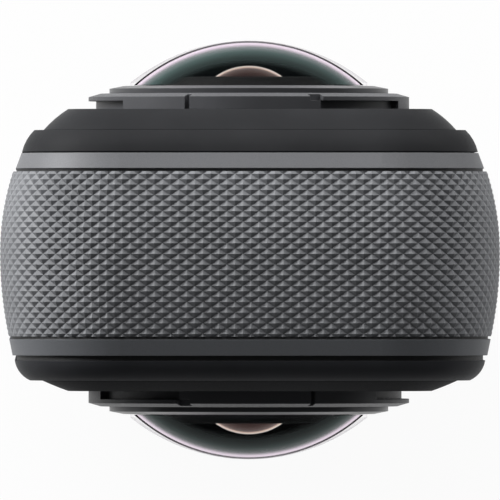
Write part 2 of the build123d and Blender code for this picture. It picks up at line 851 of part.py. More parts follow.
def make_carrier():
    """The cast block between the two lenses, with a bore for each barrel."""
    face = carrier_face
    carrier = lens_hole(carrier_radius, -face, 2 * face)
    board_room = barrel_collar_radius
    carrier -= lens_hole(board_room, carrier_web / 2, face)
    carrier -= lens_hole(board_room, -carrier_web / 2 - face, face)
    for side in (1, -1):
        for x, z in lens_screw_places():
            low = min(side * face, side * (face - lens_screw_length))
            carrier -= disc(x, low, z, lens_screw_radius, lens_screw_length)
        slot_x = side * flex_pitch / 2
        slot_y = carrier_web / 2 + flex_thickness + flex_slot_gap
        reach = flex_width / 2 + flex_slot_gap
        carrier -= block((slot_x - reach, slot_x + reach), sorted((side * carrier_web / 2, side * slot_y)),
                         (lens_z - carrier_radius - overrun, lens_z))
    return carrier


def lens_screw_places():
    places = []
    for number in range(lens_screw_count):
        angle = 360.0 * (number + 0.5) / lens_screw_count
        direction = Vector(lens_screw_circle_radius, 0).rotate(Axis.Z, angle)
        places.append((direction.X, lens_z + direction.Y))
    return places


def facing_front(solid):
    return mirror(solid, Plane.XZ)


def turned_to_front(solid):
    """The same part, turned half a turn about the upright axis."""
    return Rot(0, 0, 180) * solid


def both_sides(solid):
    return [solid, facing_front(solid)]


def screw(x, y, z, direction, radius, head_radius, head, length):
    """A screw whose head's underside is at y, with its shank pointing along direction."""
    shank_low = y if direction > 0 else y - length
    head_low = y - head if direction > 0 else y
    return disc(x, shank_low, z, radius, length) + disc(x, head_low, z, head_radius, head)


def make_sensor_board():
    shape = rounded(sensor_board_size, sensor_board_size, lens_screw_radius, 0, lens_z)
    return at_depth(sensor_board_y, shape, board_thickness)


def make_image_sensor():
    return at_depth(sensor_y, Pos(0, lens_z) * Rectangle(sensor_width, sensor_height), sensor_thickness)


# Screen
def make_touch_glass():
    return at_depth(touch_y, rounded(screen_width, screen_height, screen_radius - touch_gap, 0, screen_z),
                    touch_thickness)


def make_display_panel():
    shape = rounded(screen_width - 2 * panel_margin, screen_height - 2 * panel_margin,
                    screen_radius - panel_margin, 0, screen_z)
    return at_depth(panel_y, shape, panel_thickness)


# Rear buttons
collar_y = rear_cover_y + seat_clearance
stem_end = collar_y - key_collar_depth
switch_top = stem_end - key_travel - switch_slack
key_board_y = switch_top - switch_depth - board_thickness


def make_rear_key(x):
    top = rear_face + key_proud
    key = disc(x, rear_cover_y, key_z, key_radius, top - rear_cover_y)
    key = fillet(key.edges().sort_by(Axis.Y)[-1], key_fillet)
    key += disc(x, rear_cover_y, key_z, key_radius + key_collar, key_collar_depth)
    key += disc(x, stem_end, key_z, key_stem_radius, rear_cover_y - stem_end)
    dish = disc(x, top - key_dish_depth, key_z, key_dish_radius, key_dish_depth + overrun)
    return key - dish


def make_lens_switch_key():
    return make_rear_key(-key_pitch / 2)


def make_shutter_key():
    return make_rear_key(key_pitch / 2)


def make_key_board():
    width = key_pitch + 2 * key_radius
    return at_depth(key_board_y, rounded(width, key_board_height, base_plate_radius, 0, key_z),
                    board_thickness)


# Side buttons
side_collar_x = frame_inner_x - seat_clearance
side_stem_end = side_collar_x - side_collar_depth - seat_clearance
side_switch_x = side_stem_end - key_travel - switch_slack
side_board_x = side_switch_x - switch_depth - board_thickness


def make_side_key(z, number):
    cap_space = from_side(frame_x - overrun, side_keys_shape(0)[number], half_width + overrun - frame_x)
    cap = full_band & cap_space
    inner = from_side(side_collar_x - side_collar_depth, side_keys_shape(0)[number],
                      frame_x - side_collar_x + side_collar_depth)
    collar = from_side(side_collar_x - side_collar_depth,
                       rounded(side_key_depth + 2 * side_collar, side_key_length + 2 * side_collar,
                               side_key_depth / 2, side_key_y, z), side_collar_depth)
    stem = from_side(side_stem_end, Pos(side_key_y, z) * Circle(key_stem_radius), overrun)
    dish = from_side(half_width - side_key_dish,
                     rounded(side_key_depth - 2 * side_collar, side_key_length - 2 * side_collar,
                             side_key_depth / 2 - side_collar - key_fillet, side_key_y, z), overrun)
    return cap + inner + collar + stem - dish


def make_side_board():
    length = side_key_pitch + side_key_length
    z = (upper_key_z + lower_key_z) / 2
    return from_side(side_board_x, rounded(side_board_depth, length, base_plate_radius, side_key_y, z),
                     board_thickness)


def make_switches():
    """A switch under each rear and each side button."""
    half = switch_width / 2
    switches = []
    for x in (-key_pitch / 2, key_pitch / 2):
        switches.append(block((x - half, x + half), (switch_top - switch_depth, switch_top),
                              (key_z - half, key_z + half)))
    for z in (upper_key_z, lower_key_z):
        switches.append(block((side_switch_x - switch_depth, side_switch_x),
                              (side_key_y - half, side_key_y + half), (z - half, z + half)))
    return switches


# Battery module
pack_face = -frame_x - battery_seal_thickness


def make_battery_pack():
    shape = rounded(pack_depth, battery_height, battery_radius, cover_middle,
                    battery_base + battery_height / 2)
    return from_side(pack_face, shape, -frame_inner_x + battery_width - pack_face)


def cover_space(x_low, x_high):
    return side_window(x_low, x_high, cover_middle - cover_depth / 2, cover_middle + cover_depth / 2,
                       cover_low, cover_high, battery_radius - cover_gap)


def latch_pocket(z_end, direction):
    """Room in the cover for a latch, from near its end inwards by the latch's travel."""
    outer = z_end - direction * latch_end
    inner = outer - direction * (latch_length + latch_travel + 2 * latch_gap)
    low, high = min(outer, inner), max(outer, inner)
    y_half = latch_depth / 2 + latch_gap
    return side_window(skin_low, pack_face - latch_floor, cover_middle - y_half, cover_middle + y_half,
                       low, high, battery_radius / 2)


def tongue_slot(z_end, direction, gap):
    """The channel from a latch pocket out through the cover's end."""
    start = z_end - direction * (latch_end + latch_gap)
    low, high = min(start, z_end), max(start, z_end)
    x_low = pack_face - latch_floor - gap
    y_half = latch_tongue_depth / 2 + gap
    return block((x_low - latch_tongue_thickness - gap, x_low + gap),
                 (cover_middle - y_half, cover_middle + y_half), (low - gap, high + gap))


def make_battery_cover():
    skin = full_band & cover_space(skin_low, pack_face)
    for z_end, direction in ((cover_high, 1), (cover_low, -1)):
        skin -= latch_pocket(z_end, direction)
        skin -= tongue_slot(z_end, direction, seat_clearance)
    return skin


def make_latch(z_end, direction):
    """A ribbed thumb slide with a tongue that reaches to the cover's end."""
    outer = z_end - direction * (latch_end + latch_gap)
    inner = outer - direction * latch_length
    low, high = min(outer, inner), max(outer, inner)
    floor_x = pack_face - latch_floor - seat_clearance
    top_x = floor_x - latch_thickness
    body = side_window(top_x, floor_x, cover_middle - latch_depth / 2, cover_middle + latch_depth / 2,
                       low, high, battery_radius / 2 - latch_gap)
    pitch = latch_length / (latch_rib_count + 1)
    for number in range(latch_rib_count):
        z = low + pitch * (number + 1)
        body -= block((top_x - overrun, top_x + latch_rib),
                      (cover_middle - latch_tongue_depth, cover_middle + latch_tongue_depth),
                      (z - latch_rib / 2, z + latch_rib / 2))
    tongue_low, tongue_high = min(outer, z_end), max(outer, z_end)
    body += block((floor_x - latch_tongue_thickness, floor_x),
                  (cover_middle - latch_tongue_depth / 2, cover_middle + latch_tongue_depth / 2),
                  (tongue_low, tongue_high))
    return body


def make_battery_seal():
    """A rubber loop round the pack, between the cover and the frame."""
    z = battery_base + battery_height / 2
    room = battery_clearance + battery_seal_width
    outer = rounded(pack_depth + 2 * room, battery_height + 2 * room, battery_radius, cover_middle, z)
    inner = rounded(pack_depth + 2 * battery_clearance, battery_height + 2 * battery_clearance,
                    battery_radius, cover_middle, z)
    return from_side(pack_face, outer - inner, battery_seal_thickness)


def make_battery_bay():
    """The plastic sleeve that the battery slides in, closed at its far end."""
    z = (bay_low + bay_high) / 2
    outer = rounded(bay_rear - bay_front, bay_high - bay_low, battery_radius, cover_middle, z)
    inner = rounded(bay_inner_depth, bay_high - bay_low - 2 * bay_wall, battery_radius, cover_middle, z)
    bay = from_side(-frame_inner_x, outer, bay_end + bay_wall + frame_inner_x)
    bay -= from_side(-frame_inner_x - overrun, inner, bay_end + frame_inner_x + overrun)
    return bay - contact_block()


def contact_block():
    y_half = contact_block_depth / 2
    z_half = contact_block_height / 2
    z = battery_base + battery_height / 4
    return block((bay_end, bay_end + contact_block_thickness),
                 (cover_middle - y_half, cover_middle + y_half), (z - z_half, z + z_half))


def make_contacts():
    """A plastic block in the end of the bay with a row of spring fingers."""
    contacts = contact_block()
    z = battery_base + battery_height / 4
    for number in range(contact_count):
        y = cover_middle + (number - (contact_count - 1) / 2) * contact_pitch
        contacts += block((bay_end - bay_end_gap / 2, bay_end),
                          (y - contact_width / 2, y + contact_width / 2),
                          (z - contact_block_height / 2, z + contact_block_height / 2))
    return contacts


# Memory card
card_x = -frame_x + card_sink


def make_card():
    shape = rounded(card_depth, card_thickness, card_clearance, cover_middle, card_middle_z)
    return from_side(card_x, shape, card_length)


def make_card_socket():
    """A thin metal shell on the bay's roof that the card slides into."""
    y_half = card_depth / 2 + card_clearance
    z_half = card_thickness / 2 + card_clearance
    end = card_x + card_length + card_travel + card_clearance
    shell = block((-frame_inner_x, end + card_shell),
                  (cover_middle - y_half - card_shell, cover_middle + y_half + card_shell),
                  (card_middle_z - z_half - card_shell, card_middle_z + z_half + card_shell))
    return shell - block((-frame_inner_x - overrun, end), (cover_middle - y_half, cover_middle + y_half),
                         (card_middle_z - z_half, card_middle_z + z_half))


# USB door and socket
def make_door():
    """The crowned door leaf with its rounded hinge edge and bored knuckle."""
    leaf_space = block((skin_low, -frame_x - (frame_inset - door_thickness - hinge_sag)),
                       (hinge_y, door_far), (door_low, door_high))
    edge = hinge_rod(hinge_edge_radius, door_low, door_high)
    edge &= block((skin_low, hinge_x), (hinge_y - 2 * hinge_edge_radius, hinge_y), (door_low, door_high))
    leaf = full_band & (leaf_space + edge)
    leaf += hinge_rod(knuckle_radius, door_low, door_high)
    return leaf - hinge_rod(pin_radius + pin_clearance, door_low - overrun, door_high + overrun)


def make_door_pin():
    return hinge_rod(pin_radius, door_low - pin_grip, door_high + pin_grip)


door_inner_x = -frame_x - (frame_inset - door_thickness - hinge_sag)


def make_door_seal():
    """The rubber plug on the door's inside, which closes the socket."""
    y_shift = usb_y
    outer = rounded(plug_seal_depth, plug_seal_length, plug_seal_depth / 2 - key_fillet, y_shift,
                    door_middle_z)
    inner = rounded(plug_seal_depth - 2 * seal_width, plug_seal_length - 2 * seal_width,
                    plug_seal_depth / 2 - seal_width - seat_clearance, y_shift, door_middle_z)
    thickness = -frame_x - plug_seal_gap - door_inner_x
    return from_side(door_inner_x, outer - inner, thickness)


def make_usb_socket():
    """The metal shell with its tongue and a mounting flange on the frame's inner wall."""
    length = usb_length
    shell = rounded(usb_depth, length, usb_depth / 2 - usb_wall / 2, usb_y, door_middle_z)
    hollow = rounded(usb_depth - 2 * usb_wall, length - 2 * usb_wall, usb_depth / 2 - 1.5 * usb_wall,
                     usb_y, door_middle_z)
    socket = from_side(-frame_x, shell, usb_body) - from_side(-frame_x - overrun, hollow, usb_body)
    tongue = block((-frame_x + usb_wall, -frame_x + usb_body),
                   (usb_y - usb_tongue / 2, usb_y + usb_tongue / 2),
                   (door_middle_z - length / 2 + usb_depth / 2, door_middle_z + length / 2 - usb_depth / 2))
    flange = block((-frame_inner_x, -frame_inner_x + usb_flange),
                   (usb_y - usb_depth / 2 - usb_flange, usb_y + usb_depth / 2 + usb_flange),
                   (door_middle_z - length / 2 - usb_flange, door_middle_z + length / 2 + usb_flange))
    flange -= from_side(-frame_inner_x - overrun, shell, usb_flange + 2 * overrun)
    return socket + tongue + flange


# Boards
main_board_y = bay_rear + main_board_gap
main_board_low = screen_low + main_board_margin
main_board_height = screen_height - 2 * main_board_margin
main_board_width = 2 * frame_inner_x - 2 * main_board_side
shield_height = main_board_height - 2 * shield_margin
shield_width = main_board_width - 2 * shield_side
spreader_width = main_board_width - 2 * spreader_side
spreader_base = pad_base - spreader_rim
spreader_height = pad_height + 2 * spreader_rim
shield_y = main_board_y + board_thickness


def make_main_board():
    z = main_board_low + main_board_height / 2
    return at_depth(main_board_y, rounded(main_board_width, main_board_height, base_plate_radius, 0, z),
                    board_thickness)


def make_shield():
    z = main_board_low + main_board_height / 2
    height = panel_y - shield_gap - shield_y
    return at_depth(shield_y, rounded(shield_width, shield_height, lens_screw_radius, 0, z), height)


def make_spreader():
    z = spreader_base + spreader_height / 2
    return at_depth(front_housing_y, rounded(spreader_width, spreader_height, base_plate_radius, 0, z),
                    spreader_thickness)


def make_antenna():
    """A thin antenna strip under the top wall of the frame."""
    top = body_height - frame_inset - frame_wall
    return block((-antenna_width / 2, antenna_width / 2),
                 (carrier_web / 2, carrier_web / 2 + antenna_depth), (top - antenna_thickness, top))


# Sound
def make_speaker():
    return side_window(frame_inner_x - speaker_thickness, frame_inner_x, side_key_y - speaker_depth / 2,
                       side_key_y + speaker_depth / 2, speaker_z - speaker_length / 2,
                       speaker_z + speaker_length / 2, base_plate_radius)


def make_speaker_grille():
    """A slotted plate sunk into the band."""
    shape = rounded(grille_depth, grille_length, grille_depth / 2 - key_fillet, side_key_y, speaker_z)
    grille = from_side(frame_x, shape, grille_thickness)
    pitch = grille_length / (slot_count + 1)
    for number in range(slot_count):
        z = speaker_z + pitch * (number - (slot_count - 1) / 2)
        grille -= block((frame_x - overrun, half_width),
                        (side_key_y - slot_length / 2, side_key_y + slot_length / 2),
                        (z - slot_width / 2, z + slot_width / 2))
    return grille


# Base
def make_base_plate():
    plate = from_below(0, base_plate_shape(0), base_plate_thickness)
    plate -= from_below(-overrun, Pos(0, cover_middle) * Circle(insert_flange_radius),
                        insert_flange + overrun)
    plate -= from_below(-overrun, Pos(0, cover_middle) * Circle(insert_radius),
                        base_plate_thickness + 2 * overrun)
    for x in (-base_notch_pitch / 2, base_notch_pitch / 2):
        notch = rounded(base_notch_width, base_notch_length, base_notch_width / 3, x, cover_middle)
        plate -= from_below(-overrun, notch, base_notch_depth + overrun)
    return plate


def make_tripod_insert():
    """The metal insert with its threaded bore, drawn at the thread's inner radius."""
    outline = Polyline((thread_radius + thread_chamfer, 0), (insert_flange_radius, 0),
                       (insert_flange_radius, insert_flange), (insert_radius, insert_flange),
                       (insert_radius, insert_length), (0, insert_length), (0, thread_depth),
                       (thread_radius, thread_depth), (thread_radius, thread_chamfer), close=True)
    upright = Plane((0, cover_middle, 0), x_dir=(1, 0, 0), z_dir=(0, -1, 0))
    return revolve(upright * make_face(outline), Axis((0, cover_middle, 0), (0, 0, 1)))


def make_housing_screws():
    screws = []
    for x, z in boss_places():
        screws.append(screw(x, rear_cover_y - screw_head, z, -1, screw_radius, screw_head_radius,
                            screw_head, screw_length - overrun))
        screws.append(screw(x, front_cover_y + screw_head, z, 1, screw_radius, screw_head_radius,
                            screw_head, screw_length - overrun))
    return screws


def make_lens_screws():
    screws = []
    for x, z in lens_screw_places():
        for side in (1, -1):
            screws.append(screw(x, side * barrel_flange_top, z, -side, lens_screw_radius,
                                lens_screw_head_radius, lens_screw_head, lens_screw_length))
    return screws


# Flexible circuits
def make_display_flex():
    """A ribbon from the display panel to its plug on the main board."""
    low = main_board_low + flex_base
    ribbon = block((-flex_width, flex_width), (shield_y, panel_y), (low, low + flex_thickness))
    plug = block((-flex_width, flex_width), (shield_y, shield_y + flex_plug_depth),
                 (low, low + flex_plug_height))
    return ribbon + plug


def make_sensor_flexes():
    """A ribbon for each sensor, from its board down to the main board's top edge."""
    top = lens_z - sensor_board_size / 2
    low = main_board_low + main_board_height
    flexes = []
    for side in (1, -1):
        x_range = (side * flex_pitch / 2 - flex_width / 2, side * flex_pitch / 2 + flex_width / 2)
        start = side * carrier_web / 2
        upright = block(x_range, sorted((start, start + side * flex_thickness)), (low, top))
        level = block(x_range, (min(start, start + side * flex_thickness), shield_y),
                      (low, low + flex_thickness))
        flexes.append(upright + level)
    return flexes


pieces = {
    "grip_band": make_grip_band(),
    "rear_trim_frame": make_rear_trim(),
    "front_trim_frame": make_front_trim(),
    "inner_frame": make_inner_frame(),
    "rear_housing": make_rear_housing(),
    "rear_cover_plate": make_rear_cover(),
    "front_housing": make_front_housing(),
    "front_cover_plate": make_front_cover(),
    "front_grip_pad": make_grip_pad(),
    "status_lights": make_status_lights(),
    "microphones": make_microphones(),
    "mic_meshes": make_mic_meshes(),
    "rear_lens_glass": make_glass(),
    "front_lens_glass": facing_front(make_glass()),
    "rear_inner_element": make_inner_element(),
    "front_inner_element": facing_front(make_inner_element()),
    "rear_lens_ring": make_lens_ring(),
    "front_lens_ring": facing_front(make_lens_ring()),
    "rear_lens_barrel": make_barrel(),
    "front_lens_barrel": facing_front(make_barrel()),
    "rear_lens_mount": make_mount(),
    "front_lens_mount": turned_to_front(make_mount()),
    "lens_seals": both_sides(make_seal()),
    "lens_carrier": make_carrier(),
    "lens_screws": make_lens_screws(),
    "sensor_boards": both_sides(make_sensor_board()),
    "image_sensors": both_sides(make_image_sensor()),
    "touch_glass": make_touch_glass(),
    "display_panel": make_display_panel(),
    "shutter_button": make_shutter_key(),
    "lens_switch_button": make_lens_switch_key(),
    "key_board": make_key_board(),
    "power_button": make_side_key(upper_key_z, 0),
    "quick_button": make_side_key(lower_key_z, 1),
    "side_key_board": make_side_board(),
    "button_switches": make_switches(),
    "battery_pack": make_battery_pack(),
    "battery_cover": make_battery_cover(),
    "battery_seal": make_battery_seal(),
    "upper_latch": make_latch(cover_high, 1),
    "lower_latch": make_latch(cover_low, -1),
    "battery_bay": make_battery_bay(),
    "battery_contacts": make_contacts(),
    "memory_card": make_card(),
    "card_socket": make_card_socket(),
    "usb_door": make_door(),
    "usb_door_pin": make_door_pin(),
    "usb_door_seal": make_door_seal(),
    "usb_socket": make_usb_socket(),
    "main_board": make_main_board(),
    "processor_shield": make_shield(),
    "heat_spreader": make_spreader(),
    "antenna": make_antenna(),
    "display_flex": make_display_flex(),
    "sensor_flexes": make_sensor_flexes(),
    "speaker": make_speaker(),
    "speaker_grille": make_speaker_grille(),
    "base_plate": make_base_plate(),
    "tripod_insert": make_tripod_insert(),
    "housing_screws": make_housing_screws(),
}

for name, solid in pieces.items():
    if isinstance(solid, list):
        solid = Compound(children=solid)
    export_step(solid, f"parts/{name}.step")
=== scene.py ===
import math
import bmesh
import bpy
from mathutils import Matrix, Vector


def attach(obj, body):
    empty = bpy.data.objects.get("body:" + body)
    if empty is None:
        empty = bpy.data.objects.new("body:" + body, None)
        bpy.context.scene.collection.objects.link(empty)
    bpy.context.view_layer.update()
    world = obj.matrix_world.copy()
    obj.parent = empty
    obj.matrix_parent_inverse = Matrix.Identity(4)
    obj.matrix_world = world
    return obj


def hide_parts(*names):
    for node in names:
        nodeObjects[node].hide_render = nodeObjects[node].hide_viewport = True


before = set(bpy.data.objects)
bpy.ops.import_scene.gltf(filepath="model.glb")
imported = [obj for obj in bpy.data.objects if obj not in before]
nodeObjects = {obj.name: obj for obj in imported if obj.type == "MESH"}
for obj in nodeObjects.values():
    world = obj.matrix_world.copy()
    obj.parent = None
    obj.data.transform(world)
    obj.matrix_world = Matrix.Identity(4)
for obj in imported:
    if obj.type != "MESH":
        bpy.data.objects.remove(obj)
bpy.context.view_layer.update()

mm = 0.001
print("camera body loaded:", len(nodeObjects), "pieces")


# Small helpers for objects and meshes

def addObject(name, data):
    made = bpy.data.objects.new(name, data)
    bpy.context.scene.collection.objects.link(made)
    return made


def meshFrom(body, name):
    bmesh.ops.recalc_face_normals(body, faces=body.faces)
    mesh = bpy.data.meshes.new(name)
    body.to_mesh(mesh)
    body.free()
    return mesh


# Small helpers for finishes; every pattern follows the piece itself, in metres

noiseMarks = (0.3, 0.7)     # most values of a noise lie between these
mixSockets = {"share": 0, "first": 6, "second": 7, "result": 2}    # of a Mix node set to colours


def addNode(tree, kind, values=None):
    node = tree.nodes.new(kind)
    for socketName, value in (values or {}).items():
        node.inputs[socketName].default_value = value
    return node


def startTree(holder):
    holder.use_nodes = True
    holder.node_tree.nodes.clear()
    return holder.node_tree


def startFinish(name):
    finish = bpy.data.materials.new(name)
    tree = startTree(finish)
    output = addNode(tree, "ShaderNodeOutputMaterial")
    shader = addNode(tree, "ShaderNodeBsdfPrincipled")
    tree.links.new(shader.outputs["BSDF"], output.inputs["Surface"])
    return finish, tree, shader


def onPiece(tree, stretch=(1, 1, 1)):
    coords = addNode(tree, "ShaderNodeTexCoord")
    scaled = addNode(tree, "ShaderNodeMapping", {"Scale": stretch})
    tree.links.new(coords.outputs["Object"], scaled.inputs["Vector"])
    return scaled.outputs["Vector"]


def mottle(tree, where, size, detail=3.0, harsh=0.55):
    # size is one patch in metres
    noise = addNode(tree, "ShaderNodeTexNoise",
                    {"Scale": 1.0 / size, "Detail": detail, "Roughness": harsh})
    tree.links.new(where, noise.inputs["Vector"])
    return noise.outputs["Fac"]


def speckle(tree, where, size):
    cells = addNode(tree, "ShaderNodeTexVoronoi", {"Scale": 1.0 / size})
    tree.links.new(where, cells.inputs["Vector"])
    return cells.outputs["Distance"]


def combine(tree, operation, first, second=None):
    # each of the two is a number or another node's output
    sums = addNode(tree, "ShaderNodeMath")
    sums.operation = operation
    for socket, value in zip(sums.inputs, (first, second)):
        if isinstance(value, float):
            socket.default_value = value
        elif value is not None:
            tree.links.new(value, socket)
    return sums.outputs["Value"]


def tones(tree, value, steps):
    ramp = addNode(tree, "ShaderNodeValToRGB")
    marks = ramp.color_ramp.elements
    marks[1].position, marks[0].position = steps[-1][0], steps[0][0]
    marks[1].color, marks[0].color = (*steps[-1][1], 1.0), (*steps[0][1], 1.0)
    for place, colour in steps[1:-1]:
        marks.new(place).color = (*colour, 1.0)
    tree.links.new(value, ramp.inputs["Fac"])
    return ramp.outputs["Color"]


def greys(tree, value, steps):
    return tones(tree, value, [(place, (level, level, level)) for place, level in steps])


def facing(tree):
    return addNode(tree, "ShaderNodeLayerWeight", {"Blend": 0.5}).outputs["Facing"]


def colourFrom(tree, shader, value, steps):
    tree.links.new(tones(tree, value, steps), shader.inputs["Base Color"])


def shadesFrom(tree, shader, value, look):
    # shades: how much lighter or darker than its colour the finish is at each place of the pattern
    steps = [(place, tuple(min(1.0, part * factor) for part in look["colour"]))
             for place, factor in look["shades"]]
    colourFrom(tree, shader, value, steps)


def glossFrom(tree, shader, value, look):
    start, end = look.get("glossMarks", noiseMarks)
    least, most = look["glossSpread"]
    gloss = addNode(tree, "ShaderNodeMapRange",
                    {"From Min": start, "From Max": end,
                     "To Min": look["rough"] + least, "To Max": look["rough"] + most})
    tree.links.new(value, gloss.inputs["Value"])
    tree.links.new(gloss.outputs["Result"], shader.inputs["Roughness"])


def relief(tree, shader, height, depth, strength, softEdge=0.0):
    bump = addNode(tree, "ShaderNodeBump", {"Strength": strength, "Distance": depth})
    tree.links.new(height, bump.inputs["Height"])
    if softEdge:
        rounder = addNode(tree, "ShaderNodeBevel", {"Radius": softEdge})
        rounder.samples = 4
        tree.links.new(rounder.outputs["Normal"], bump.inputs["Normal"])
    tree.links.new(bump.outputs["Normal"], shader.inputs["Normal"])


# Moulded plastic: two close tones, a fine etched grain and uneven gloss
plasticPattern = {"cloudSize": 6 * mm, "shades": [(0.3, 0.9), (0.7, 1.1)], "grainDetail": 2.0,
                  "grainStrength": 1.0, "glossSpread": (-0.06, 0.06), "shine": 0.5,
                  "softEdge": 0.0}


def mouldedPlastic(name, ownLook):
    look = {**plasticPattern, **ownLook}
    finish, tree, shader = startFinish(name)
    where = onPiece(tree)
    grain = mottle(tree, where, look["grainSize"], look["grainDetail"])
    shadesFrom(tree, shader, mottle(tree, where, look["cloudSize"]), look)
    glossFrom(tree, shader, grain, look)
    shader.inputs["Specular IOR Level"].default_value = look["shine"]
    relief(tree, shader, grain, look["grainDepth"], look["grainStrength"], look["softEdge"])
    return finish


# Sprayed satin paint: fine flakes under an even film
paintPattern = {"cloudSize": 9 * mm, "shades": [(0.0, 1.12), (0.75, 0.94)],
                "glossSpread": (-0.05, 0.05), "shine": 0.3, "flakeStrength": 0.5}


def satinPaint(name, ownLook):
    look = {**paintPattern, **ownLook}
    finish, tree, shader = startFinish(name)
    where = onPiece(tree)
    flakes = speckle(tree, where, look["flakeSize"])
    shadesFrom(tree, shader, flakes, look)
    glossFrom(tree, shader, mottle(tree, where, look["cloudSize"]), look)
    shader.inputs["Metallic"].default_value = look["metal"]
    shader.inputs["Specular IOR Level"].default_value = look["shine"]
    relief(tree, shader, flakes, look["flakeDepth"], look["flakeStrength"], look["softEdge"])
    return finish


# Machined or drawn metal: long fine scratches along one direction
metalPattern = {"lineDetail": 4.0, "shades": [(0.3, 0.82), (0.7, 1.08)],
                "glossSpread": (-0.08, 0.1), "lineStrength": 0.6}


def brushedMetal(name, ownLook):
    look = {**metalPattern, **ownLook}
    finish, tree, shader = startFinish(name)
    lines = mottle(tree, onPiece(tree, look["along"]), look["lineSize"], look["lineDetail"])
    shadesFrom(tree, shader, lines, look)
    glossFrom(tree, shader, lines, look)
    shader.inputs["Metallic"].default_value = 1.0
    relief(tree, shader, lines, look["lineDepth"], look["lineStrength"])
    return finish


# Soft rubber: a dusty, uneven surface with no sharp gloss
rubberPattern = {"dustSize": 0.9 * mm, "dustDetail": 5.0, "shades": [(0.35, 0.88), (0.75, 1.3)],
                 "glossSpread": (-0.07, 0.07), "shine": 0.3,
                 "pitSize": 0.16 * mm, "pitDepth": 0.02 * mm, "pitStrength": 0.5}


def softRubber(name, ownLook):
    look = {**rubberPattern, **ownLook}
    finish, tree, shader = startFinish(name)
    where = onPiece(tree)
    dust = mottle(tree, where, look["dustSize"], look["dustDetail"])
    shadesFrom(tree, shader, dust, look)
    glossFrom(tree, shader, dust, look)
    shader.inputs["Specular IOR Level"].default_value = look["shine"]
    pits = speckle(tree, where, look["pitSize"])
    relief(tree, shader, pits, look["pitDepth"], look["pitStrength"])
    return finish


# Circuit board: solder mask over copper tracks
def circuitBoard(name, look):
    finish, tree, shader = startFinish(name)
    where = onPiece(tree)
    tracks = addNode(tree, "ShaderNodeTexBrick",
                     {"Scale": 1.0 / look["trackPitch"], "Mortar Size": look["trackGap"]})
    tree.links.new(where, tracks.inputs["Vector"])
    colourFrom(tree, shader, tracks.outputs["Fac"], [(0.0, look["mask"]), (1.0, look["track"])])
    glossFrom(tree, shader, mottle(tree, where, look["cloudSize"]), look)
    relief(tree, shader, tracks.outputs["Fac"], look["trackDepth"], look["trackStrength"])
    return finish


# Thin film or a chip: even gloss with faint bands
filmPattern = {"bandWave": 0.3, "cloudSize": 1.5 * mm, "glossSpread": (0.0, 0.1),
               "bandDepth": 0.01 * mm, "bandStrength": 0.3}


def bandedFilm(name, ownLook):
    look = {**filmPattern, **ownLook}
    finish, tree, shader = startFinish(name)
    where = onPiece(tree)
    bands = addNode(tree, "ShaderNodeTexWave",
                    {"Scale": look["bandsPerMetre"], "Distortion": look["bandWave"]})
    bands.bands_direction = look["across"]
    tree.links.new(where, bands.inputs["Vector"])
    colourFrom(tree, shader, bands.outputs["Fac"],
               list(zip(noiseMarks, (look["dark"], look["light"]))))
    glossFrom(tree, shader, mottle(tree, where, look["cloudSize"]), look)
    relief(tree, shader, bands.outputs["Fac"], look["bandDepth"], look["bandStrength"])
    return finish


# Outer glass: a clear shell; the coating is on its inner face. The steps run from a face seen
# head on (0) to its outline (1).
clearGlass = {
    "colour": (0.5, 0.4, 0.5), "shades": [(0.3, 1.0), (0.7, 0.95)],
    "smearSize": 5 * mm, "smearDetail": 4.0, "rough": 0.02, "glossSpread": (0.0, 0.03),
    "seenThrough": [(0.0, 0.06), (0.3, 0.006), (0.4, 0.0), (0.7, 0.0), (0.82, 0.1),
                    (0.94, 0.4), (1.0, 0.95)],
}


def clearShell(name, look):
    finish, tree, shader = startFinish(name)
    smear = mottle(tree, onPiece(tree), look["smearSize"], look["smearDetail"])
    shadesFrom(tree, shader, smear, look)
    glossFrom(tree, shader, smear, look)
    shader.inputs["Metallic"].default_value = 1.0
    tree.links.new(greys(tree, facing(tree), look["seenThrough"]), shader.inputs["Alpha"])
    return finish


# The coating's colour goes by the viewing angle, from clear black through teal to lilac towards
# its outline; where the mirror share is low it shows as a matte colour, a painted reflection of
# the coating
coatedShell = {
    "colours": [(0.0, (0.012, 0.016, 0.02)), (0.5, (0.005, 0.008, 0.008)),
                (0.58, (0.013, 0.022, 0.021)), (0.66, (0.029, 0.052, 0.049)),
                (0.74, (0.105, 0.12, 0.125)), (0.785, (0.47, 0.37, 0.46)),
                (0.81, (0.8, 0.64, 0.79)), (0.85, (0.68, 0.54, 0.67))],
    "seenThrough": [(0.0, 0.2), (0.36, 0.2), (0.4, 0.15), (0.48, 0.25), (0.54, 1.0),
                    (0.852, 1.0), (0.863, 0.0)],
    "mirror": [(0.0, 1.0), (0.36, 1.0), (0.46, 0.3), (0.62, 0.28), (0.72, 0.45), (0.79, 0.9)],
    # painted shade: the colour of the dome's far side when a camera ray sees it from within
    "paintedShadeFarSide": (0.016, 0.009, 0.013),
    "smearSize": 4 * mm, "smearDetail": 4.0, "rough": 0.04, "glossSpread": (0.0, 0.04),
}


